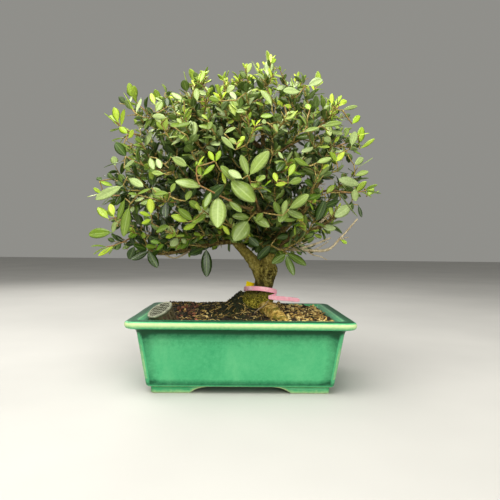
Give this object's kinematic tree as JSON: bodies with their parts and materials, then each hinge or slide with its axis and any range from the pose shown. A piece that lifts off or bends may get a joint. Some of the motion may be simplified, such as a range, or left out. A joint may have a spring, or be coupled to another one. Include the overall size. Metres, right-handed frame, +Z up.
{
  "type": "schillings dwarf yaupon holly bonsai",
  "caption": "Small broad-crowned evergreen tree with tiny oval leaves, grown as one piece with its forked trunk and surface roots, in a filled rectangular glazed pot on bracket feet.",
  "frame": {"origin": "the middle of the whole's reach in X and Y, on the floor under the pot's feet", "axes": "+Z up from the floor, +X along the pot's long side to the right of the show side, +Y from the show side to the back"},
  "size_m": [0.32, 0.2474, 0.3775],
  "materials": {
    "bark": "matte",
    "leaf": "satin",
    "young_leaf": "satin",
    "soil": "matte",
    "glaze": "gloss",
    "basket": "satin",
    "fertiliser": "matte",
    "pink_label": "satin",
    "yellow_tab": "satin",
    "screen": "matte",
    "wire": "satin"
  },
  "bodies": {
    "root": {"tree_wood": "bark", "new_shoot_01": "young_leaf", "new_shoot_02": "young_leaf", "new_shoot_03": "young_leaf", "new_shoot_04": "young_leaf", "new_shoot_05": "young_leaf", "new_shoot_06": "young_leaf", "new_shoot_07": "young_leaf", "new_shoot_08": "young_leaf", "new_shoot_09": "young_leaf", "new_shoot_10": "young_leaf", "new_shoot_11": "young_leaf", "new_shoot_12": "young_leaf", "new_shoot_13": "young_leaf", "new_shoot_14": "young_leaf", "new_shoot_15": "young_leaf", "new_shoot_16": "young_leaf", "new_shoot_17": "young_leaf", "leafy_spray_01": "leaf", "leafy_spray_02": "leaf", "leafy_spray_03": "leaf", "leafy_spray_04": "leaf", "leafy_spray_05": "leaf", "leafy_spray_06": "leaf", "leafy_spray_07": "leaf", "leafy_spray_08": "leaf", "leafy_spray_09": "leaf", "leafy_spray_10": "leaf", "leafy_spray_11": "leaf", "leafy_spray_12": "leaf", "leafy_spray_13": "leaf", "leafy_spray_14": "leaf", "leafy_spray_15": "leaf", "leafy_spray_16": "leaf", "leafy_spray_17": "leaf", "leafy_spray_18": "leaf", "leafy_spray_19": "leaf", "leafy_spray_20": "leaf", "front_spray_01": "leaf", "front_spray_02": "leaf", "front_spray_03": "leaf", "front_spray_04": "leaf", "front_spray_05": "leaf", "front_spray_06": "leaf", "front_spray_07": "leaf", "new_shoot_18": "young_leaf", "pot": "glaze", "drain_screen_left": "screen", "screen_wire_left": "wire", "drain_screen_right": "screen", "screen_wire_right": "wire", "soil": "soil", "basket_cup": "basket", "basket_lid": "basket", "fertiliser_cake": "fertiliser", "label_band": "pink_label", "yellow_tab": "yellow_tab"}
  },
  "joints": []
}
